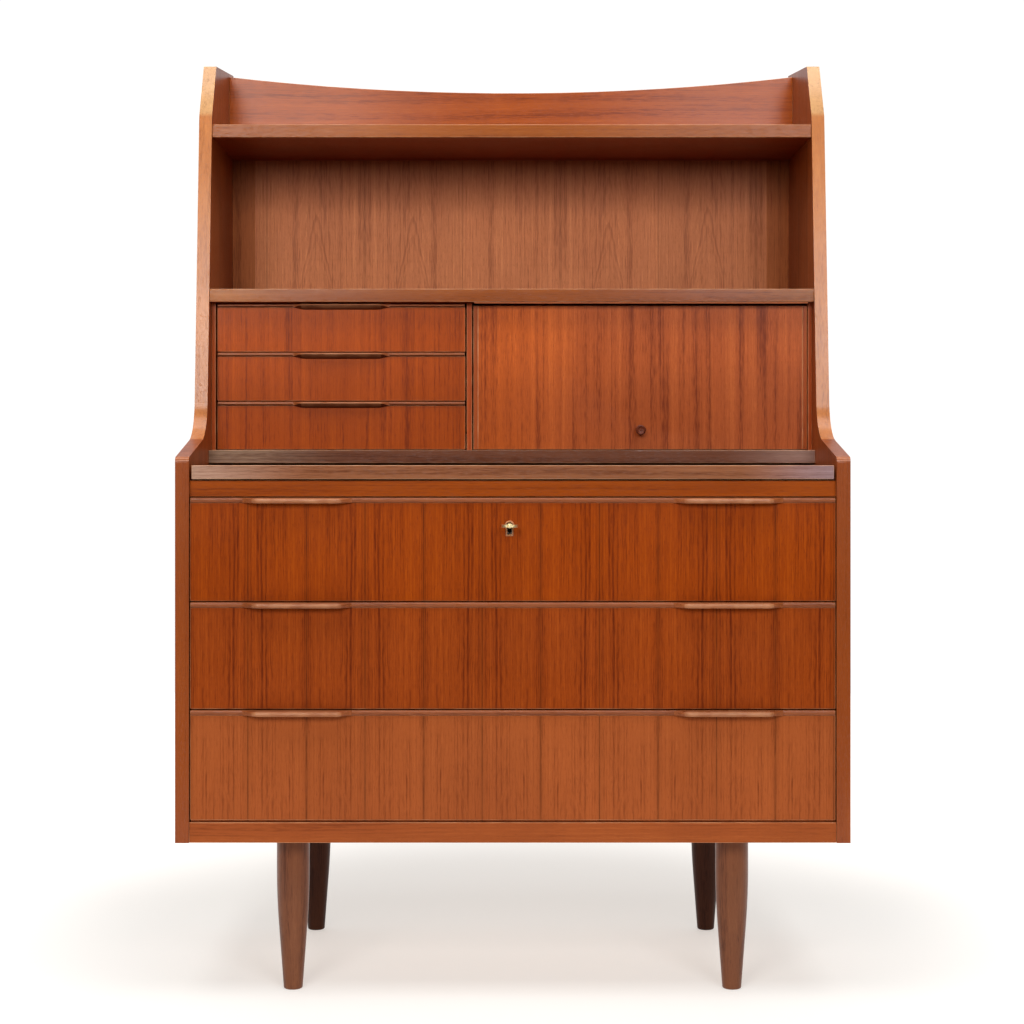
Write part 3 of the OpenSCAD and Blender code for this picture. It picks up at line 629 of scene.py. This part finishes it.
for node, (name, finish, slot) in BOARDS.items():
    board = joiner_copy(node, name, finish)
    if finish == "side":
        face_finish(board.data, "side_edge", lambda normal: normal.y < -0.3 and abs(normal.x) < 0.9)
    if finish in ("board", "low_board"):
        # Painted shade: the undersides get the darker tone
        face_finish(board.data, "under", lambda normal: normal.z < -0.5)
        face_finish(board.data, "shelf_top", lambda normal: normal.z > 0.8)


def grown(bm, node, sides, foot):
    """A part of the frame drawn out sideways and downwards, into the gap round it."""
    planed(bm, node)
    low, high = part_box(node)
    for vert in bm.verts:
        if abs(vert.co.x - low.x) < NEAR:
            vert.co.x -= sides
        if abs(vert.co.x - high.x) < NEAR:
            vert.co.x += sides
        if abs(vert.co.z - low.z) < NEAR:
            vert.co.z -= foot


def block(bm, size, spot):
    """A plain block of wood in a bmesh, by its size and its middle."""
    verts = bmesh.ops.create_cube(bm, size=1.0)["verts"]
    bmesh.ops.scale(bm, vec=size, verts=verts)
    bmesh.ops.translate(bm, vec=spot, verts=verts)


# How far faces are drawn out into the gaps round them, and the slits that stay open below them
FACE_GROWTH = 0.7 * MM
FLAP_EDGE_GROWTH = 1.9 * MM
LONGEST_FOOT = 1.5 * MM
SLIT_BELOW_FOOT = 1.6 * MM
SLIT_BELOW_TONGUE = 0.9 * MM
TONGUE_LAP = 2 * MM


def drawer_face(node, name, finish, below, set_back):
    """A drawer's face, with a tongue behind its foot that closes the gap over what lies below."""
    bm = bmesh.new()
    low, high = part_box(node)
    gap = low.z - below
    foot = max(0.0, min(LONGEST_FOOT, gap - SLIT_BELOW_FOOT))
    grown(bm, node, FACE_GROWTH, foot)
    round_edges(bm, sharp_edges(bm), ARRIS)
    if gap - foot > 1.5 * SLIT_BELOW_TONGUE:
        thick = high.y - low.y - set_back
        tall = gap - SLIT_BELOW_TONGUE + TONGUE_LAP
        middle = ((low.x + high.x) / 2, high.y - thick / 2, below + SLIT_BELOW_TONGUE + tall / 2)
        block(bm, (high.x - low.x, thick, tall), middle)
    return piece_from(bm, name, finish, node)


# What each drawer's face comes down to: the next lip, or the board under the last one
WIDE_BELOW = {k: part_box(f"drawer_{k + 1}_lip")[1].z for k in (1, 2)} | {3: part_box("bottom_rail")[1].z}
SMALL_BELOW = {k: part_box(f"hutch_{k + 1}_lip")[1].z for k in (1, 2)} | {3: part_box("desk_board")[1].z}
for k in (1, 2, 3):
    drawer_face(f"drawer_{k}_front", f"wide_drawer_{k}_face", f"front_{k}", WIDE_BELOW[k],
                set_back=2.5 * MM)
    drawer_face(f"hutch_{k}_front", f"small_drawer_{k}_face", "small_front", SMALL_BELOW[k],
                set_back=2 * MM)


def flap_edges():
    """The solid teak round the flap, close to the partition and to the lining."""
    bm = bmesh.new()
    grown(bm, "flap_edging", FLAP_EDGE_GROWTH, 0)
    round_edges(bm, sharp_edges(bm), ARRIS)
    return piece_from(bm, "flap_edges", "flap_edge", "flap_edging")


def flap_bead():
    """A rounded bead under the shelf's front, in front of the gap that the flap turns in."""
    flap_low, flap_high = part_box("flap_edging")
    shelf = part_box("middle_shelf")[0]
    front, deep, high = shelf.y + 3 * MM, 5 * MM, 2.2 * MM
    bm = bmesh.new()
    middle = ((flap_low.x + flap_high.x) / 2, front + deep / 2, shelf.z - high / 2)
    block(bm, (flap_high.x - flap_low.x, deep, high), middle)
    nose = [e for e in bm.edges
            if all(v.co.y < front + NEAR and v.co.z < shelf.z - NEAR for v in e.verts)]
    round_edges(bm, nose, ARRIS, 4)
    # Its lip finish paints it pale: a painted glint under the shelf
    return piece_from(bm, "flap_top_bead", "lip", "middle_shelf", stands_for=())


flap_edges()
flap_bead()

# Parts of the frame that are shown as they are
KEPT = {
    "bottom_board": "bottom_ply",
    "cabinet_back": "ply",
    "hutch_back": "back",
    "drawer_runners": "box",
    "hutch_runners": "box",
    "leaf_guides": "box",
    "leaf_stops": "box",
    "flap_stops": "box",
    "leg_bolts": "steel",
    "back_screws": "steel",
    "flap_sockets": "brass",
    "flap_pins": "pin",
    "lock_case": "lock",
    "lock_bolt": "steel",
}
for k in (1, 2, 3):
    KEPT[f"drawer_{k}_box"] = KEPT[f"hutch_{k}_box"] = "box"
    KEPT[f"drawer_{k}_bottom"] = KEPT[f"hutch_{k}_bottom"] = "bottom_ply"
for node, finish in KEPT.items():
    mesh = frame["nodes"][node].data
    mesh.materials.clear()
    mesh.materials.append(FINISH[finish])
    if node.endswith("_box"):
        face_finish(mesh, "box_back", lambda normal: abs(normal.y) > 0.9)

# ---------------------------------------------------------------- lips and pulls


def ease(t):
    """A smooth rise from 0 to 1."""
    t = min(1.0, max(0.0, t))
    return t * t * (3 - 2 * t)


# A pull's reach where it starts, and how deep it sits in its strip
LEAST_REACH = 0.35 * MM
ROOT_DEPTH = 2 * MM


def pull_outline(front, top, share, most, nose_h, root_h, strip_h):
    """One cut through a pull: sloped top, round nose, and an underside that runs back to its root.

    share is how far the pull has grown out of the strip there, from 0 to 1, and most its full reach.
    """
    reach = max(LEAST_REACH, most * share)
    nose = front - reach
    high = top - (0.05 + share) * MM
    low = top - strip_h + (strip_h - nose_h) * share
    foot = top - strip_h + (strip_h - root_h) * share
    upper_r = min(0.5 * reach, 0.5 * (high - low))
    lower_r = min(0.4 * reach, 0.45 * (high - low))
    root = front + ROOT_DEPTH
    points = [(root, top - 0.02 * MM)]
    points += arc((nose + upper_r, high - upper_r), upper_r, 90, 180, 5)
    points += arc((nose + lower_r, low + lower_r), lower_r, 180, 270, 4)
    points += [(front, foot), (root, foot)]
    return points


def pull(bm, middle, front, top, flat, sweep, most, heights, strip_h):
    """A pull that sweeps out of the strip, runs straight and sweeps back."""
    steps = 14
    shares = [i / steps for i in range(1, steps + 1)]
    ends = [flat + sweep * (1 - t) for t in shares]
    stations = [middle - x for x in ends] + [middle + x for x in reversed(ends)]

    def outline(x):
        share = ease((flat + sweep - abs(x - middle)) / sweep)
        return pull_outline(front, top, share, most, *heights, strip_h)

    loft(bm, stations, outline)


# How pale the strip's upper and lower arrises are painted, and the pulls from this share of their reach on:
# rubbed, and a painted highlight, strong on the upper arris where light falls and faint on the lower
UPPER_WEAR_AND_HIGHLIGHT = 0.9
LOWER_WEAR_AND_HIGHLIGHT = 0.05
NOSE_FROM = 0.72
NOSE_WEAR_AND_HIGHLIGHT = 0.5


def strip(bm, left, right, front, back, top, height, pocket=None):
    """The straight strip of a lip, with a pocket in its back where a lock stands."""
    plan = [(left, front), (right, front), (right, back)]
    if pocket:
        case_left, case_right, case_front = pocket
        plan += [(case_right, back), (case_right, case_front), (case_left, case_front), (case_left, back)]
    plan += [(left, back)]
    face = bm.faces.new([bm.verts.new((x, y, top - height)) for x, y in plan])
    drawn = bmesh.ops.extrude_face_region(bm, geom=[face])["geom"]
    bmesh.ops.translate(bm, vec=(0, 0, height), verts=[v for v in drawn if isinstance(v, bmesh.types.BMVert)])
    bmesh.ops.recalc_face_normals(bm, faces=bm.faces)
    # The upper arris is painted much paler than the lower: a painted highlight where light falls
    for level, wear_and_highlight in ((top, UPPER_WEAR_AND_HIGHLIGHT), (top - height, LOWER_WEAR_AND_HIGHLIGHT)):
        nose = [e for e in bm.edges if e.calc_length() > 0.5 * (right - left)
                and all(abs(v.co.y - front) < TOUCH and abs(v.co.z - level) < TOUCH for v in e.verts)]
        round_edges(bm, nose, height * 0.4, 5, wear_and_highlight)
    round_edges(bm, sharp_edges(bm, SMALLEST_STRIP_END), STRIP_ARRIS)


def lip(node, name, reach, strip_h, heights, flat, sweep, middles, pocket=None):
    """A lip on a drawer: its strip, and the pulls on it with the heights of their nose and root."""
    low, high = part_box(node)
    front = low.y + reach
    bm = bmesh.new()
    strip(bm, low.x, high.x, front, high.y, high.z, strip_h, pocket)
    for middle in middles:
        pull(bm, middle, front, high.z, flat, sweep, reach, heights, strip_h)
    bmesh.ops.recalc_face_normals(bm, faces=bm.faces)
    layer = bm.verts.layers.float.get("arris")
    # The pulls' noses are painted pale: rubbed, and a painted highlight
    for vert in bm.verts:
        if vert.co.y < front - reach * NOSE_FROM:
            vert[layer] = NOSE_WEAR_AND_HIGHLIGHT
    return piece_from(bm, name, "lip", node)


case_low, case_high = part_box("lock_case")
LOCK_POCKET = (case_low.x, case_high.x, case_low.y)
WIDE_PULL_X = 297 * MM
WIDE_PULL = {"reach": 13 * MM, "strip_h": 7 * MM, "heights": (7.6 * MM, 8.6 * MM),
             "flat": 54 * MM, "sweep": 23 * MM}
SMALL_PULL = {"reach": 8 * MM, "strip_h": 5.5 * MM, "heights": (3.4 * MM, 8.6 * MM),
              "flat": 54.5 * MM, "sweep": 18.5 * MM}
for k in (1, 2, 3):
    lip(f"drawer_{k}_lip", f"wide_drawer_{k}_pulls", middles=(-WIDE_PULL_X, WIDE_PULL_X),
        pocket=LOCK_POCKET if k == 1 else None, **WIDE_PULL)
    small_low, small_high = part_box(f"hutch_{k}_lip")
    small = lip(f"hutch_{k}_lip", f"small_drawer_{k}_pull", middles=((small_low.x + small_high.x) / 2,),
                **SMALL_PULL)
    # Painted shade: the small pulls' undersides take a dark tone, as shade under the pull
    face_finish(small.data, "shaded_pull_underside", lambda normal: normal.z < -0.4)

# ---------------------------------------------------------------- turned parts


def leg(node, name, finish):
    """A turned leg: round column, easing into a straight taper, with a softened foot."""
    low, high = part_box(node)
    centre = ((low.x + high.x) / 2, (low.y + high.y) / 2, 0)
    top_r = (high.x - low.x) / 2
    slope = 0.0756
    ease_low, ease_high = 90 * MM, 170 * MM
    rise = slope / 2 / (ease_high - ease_low)
    low_r = top_r - rise * (ease_high - ease_low) ** 2

    def radius(z):
        if z > ease_high:
            return top_r
        if z > ease_low:
            return top_r - rise * (ease_high - z) ** 2
        return low_r - (ease_low - z) * slope

    foot_r, top_arris = 2.4 * MM, 1.2 * MM
    profile = [(0, 0)] + arc((radius(foot_r) - foot_r, foot_r), foot_r, -90, 0, 5)
    heights = [ease_low * i / 6 for i in range(1, 6)]
    heights += [ease_low + (ease_high - ease_low) * i / 14 for i in range(15)]
    profile += [(radius(z), z) for z in heights]
    profile += arc((top_r - top_arris, high.z - top_arris), top_arris, 0, 90, 4) + [(0, high.z)]
    bm = bmesh.new()
    turned(bm, profile, centre, (0, 0, 1), 72)
    return piece_from(bm, name, finish, node)


# The rear legs take the darker tone: painted shade
for end in ("front", "back"):
    for hand in ("left", "right"):
        leg(f"leg_{end}_{hand}", f"turned_leg_{end}_{hand}", "leg" if end == "front" else "shaded_rear_leg")


def knob():
    """The flap's turned knob: spigot, waist and rim, and a face dished round a small pip."""
    low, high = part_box("flap_knob")
    r = (high.x - low.x) / 2
    centre = ((low.x + high.x) / 2, high.y, (low.z + high.z) / 2)
    long = high.y - low.y
    face = long - 0.9 * MM
    rim_r = 1.5 * MM
    spigot = [(0, 0), (3 * MM, 0), (3 * MM, 8 * MM)]
    waist = [(4.6 * MM, 8 * MM), (4.0 * MM, 9.4 * MM), (3.8 * MM, 12 * MM), (4.3 * MM, 14 * MM),
             (5.6 * MM, 16.1 * MM), (7.0 * MM, 17.6 * MM)]
    rim = arc((r - rim_r, long - 2.6 * MM), rim_r, 0, 70, 5)
    dish = [(5.6 * MM, long), (4.6 * MM, face), (3.4 * MM, face - 0.4 * MM), (1.6 * MM, face - 0.6 * MM)]
    pip = [(1.3 * MM, face + 0.1 * MM), (0.8 * MM, face + 0.4 * MM), (0, face + 0.5 * MM)]
    profile = spigot + waist + rim + dish + pip
    bm = bmesh.new()
    turned(bm, profile, centre, (0, -1, 0), 48)
    return piece_from(bm, "flap_turned_knob", "knob", "flap_knob")


knob()

# ---------------------------------------------------------------- lock furniture


def keyhole_rim():
    """The brass rim let into the top drawer round the keyhole."""
    bm = bmesh.new()
    planed(bm, "escutcheon")
    round_edges(bm, sharp_edges(bm, SMALLEST_FILED), METAL_ARRIS, 2)
    return piece_from(bm, "keyhole_rim", "rim", "escutcheon")


def drawer_key():
    """The key, with a domed boss on the front of its bow."""
    bm = bmesh.new()
    planed(bm, "key")
    round_edges(bm, sharp_edges(bm, SMALLEST_FILED), METAL_ARRIS, 2)
    low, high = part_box("key")
    boss_r, boss_long, dome_r = 2.5 * MM, 4.5 * MM, 1.6 * MM
    tip = ((low.x + high.x) / 2, low.y + 0.1 * MM, (low.z + high.z) / 2)
    profile = [(0, 0), (1.1 * MM, 0.1 * MM)] + arc((boss_r - dome_r, 1.7 * MM), dome_r, -80, 0, 5)
    profile += [(boss_r, boss_long), (0, boss_long)]
    turned(bm, profile, tip, (0, 1, 0), 32)
    return piece_from(bm, "drawer_key", "key", "key")


keyhole_rim()
drawer_key()

# ---------------------------------------------------------------- studio

# The floor's radius and middle, and the middle of the ring round the desk where it begins to glow
FLOOR_R = 2.6
FLOOR_Y = 0.95
RING_Y = 0.1
FLOOR_GLOW = (1.0, 0.968, 0.925, 1.0)


def floor():
    """A round pale floor, brighter away from the desk and white at its rim, to run into the white room."""
    bm = bmesh.new()
    bmesh.ops.create_circle(bm, cap_ends=True, radius=FLOOR_R, segments=96)
    bmesh.ops.translate(bm, vec=(0, FLOOR_Y, 0), verts=bm.verts)
    mesh = bpy.data.meshes.new("studio_floor")
    bm.to_mesh(mesh)
    bm.free()
    w = Recipe("studio_floor_paint")
    colour = w.mix(w.noise(w.place, 3.0), *FLOOR_GREY)
    w.finish(colour, w.add(0.6, w.times(w.noise(w.place, 40.0), 0.1)), 0.2)
    x, y, _ = w.split(w.place)

    def distance(middle):
        return w.math("SQRT", w.add(w.math("POWER", x, 2.0), w.math("POWER", w.less(y, middle), 2.0)))

    # Painted light: the floor glows, dimmer round the desk where its shadow falls and in front of it, and
    # white at its rim
    round_desk = w.band(distance(RING_Y), 0.55, 1.3, (0.49, 1.0))
    open_floor = w.times(round_desk, w.band(y, -1.1, -0.4, (0.15, 1.0)))
    rim = w.band(distance(FLOOR_Y), FLOOR_R - 0.28, FLOOR_R - 0.04, (0.0, 0.95))
    w.put(w.shader.inputs["Emission Color"], FLOOR_GLOW)
    w.put(w.shader.inputs["Emission Strength"], w.math("MAXIMUM", open_floor, rim))
    mesh.materials.append(w.material)
    made = bpy.data.objects.new("studio_floor", mesh)
    bpy.context.scene.collection.objects.link(made)


def room_light():
    """White all round to look at; as light it is bright overhead and behind, and dark in front."""
    world = bpy.data.worlds.new("studio")
    bpy.context.scene.world = world
    world.use_nodes = True
    tree = world.node_tree
    nodes, links = tree.nodes, tree.links
    nodes.clear()

    def node(kind, **settings):
        made = nodes.new(kind)
        for key, value in settings.items():
            setattr(made, key, value)
        return made

    def step(value, low, high, start, end):
        made = node("ShaderNodeMapRange", interpolation_type="SMOOTHSTEP")
        links.new(value, made.inputs[0])
        for slot, number in enumerate((low, high, start, end), 1):
            made.inputs[slot].default_value = number
        return made.outputs[0]

    def math_node(operation, a, b):
        made = node("ShaderNodeMath", operation=operation)
        for slot, value in enumerate((a, b)):
            if isinstance(value, bpy.types.NodeSocket):
                links.new(value, made.inputs[slot])
            else:
                made.inputs[slot].default_value = value
        return made.outputs[0]

    way = node("ShaderNodeSeparateXYZ")
    links.new(node("ShaderNodeTexCoord").outputs["Generated"], way.inputs[0])
    behind = step(way.outputs[1], -0.3, 0.6, 0.02, 0.9)
    above = step(way.outputs[2], 0.5, 0.95, 0.0, 0.35)
    light = math_node("ADD", behind, above)
    path = node("ShaderNodeLightPath")
    light = math_node("MULTIPLY", light, step(path.outputs["Is Diffuse Ray"], 0.0, 1.0, 1.0, 0.6))
    seen = math_node("MAXIMUM", math_node("MULTIPLY", path.outputs["Is Camera Ray"], 1.05), light)
    studio = node("ShaderNodeBackground")
    studio.inputs["Color"].default_value = (1.0, 0.995, 0.985, 1.0)
    links.new(seen, studio.inputs["Strength"])
    links.new(studio.outputs[0], node("ShaderNodeOutputWorld").inputs[0])


def softbox(name, place, aim, size, power, colour=(1.0, 1.0, 1.0)):
    """A rectangular lamp that lights the desk and isn't seen itself."""
    lamp = bpy.data.lights.new(name, "AREA")
    lamp.shape = "RECTANGLE"
    lamp.size, lamp.size_y = size
    lamp.energy = power
    lamp.color = colour
    made = bpy.data.objects.new(name, lamp)
    made.location = place
    made.rotation_euler = (Vector(aim) - Vector(place)).to_track_quat("-Z", "Y").to_euler()
    made.visible_camera = False
    bpy.context.scene.collection.objects.link(made)


# The camera's distance from the desk's front, its height, and its place left of the middle
STAND_BACK = 2.67
EYE_HEIGHT = 0.741
OFF_CENTRE = -0.019


def camera():
    """Level and square to the desk's front, a little left of its middle."""
    lens = bpy.data.cameras.new("camera")
    lens.sensor_width = 36
    lens.lens = 68.2
    lens.shift_x = 0.0127
    lens.shift_y = -0.0498
    lens.clip_end = 60
    made = bpy.data.objects.new("camera", lens)
    made.location = (OFF_CENTRE, FRONT_Y - STAND_BACK, EYE_HEIGHT)
    made.rotation_euler = (math.radians(90), 0, 0)
    bpy.context.scene.collection.objects.link(made)
    bpy.context.scene.camera = made


floor()
room_light()
softbox("left_softbox", place=(-0.95, -2.95, 1.8), aim=(-0.1, 0, 0.8), size=(1.1, 1.1), power=43,
        colour=(1.0, 0.975, 0.94))
softbox("right_softbox", place=(1.0, -2.95, 1.8), aim=(0.1, 0, 0.8), size=(1.1, 1.1), power=35,
        colour=(0.95, 0.975, 1.0))
softbox("overhead_softbox", place=(0, -0.7, 2.9), aim=(0, -0.25, 0.6), size=(2.4, 1.4), power=52)
camera()
bpy.context.scene.view_settings.view_transform = "Standard"
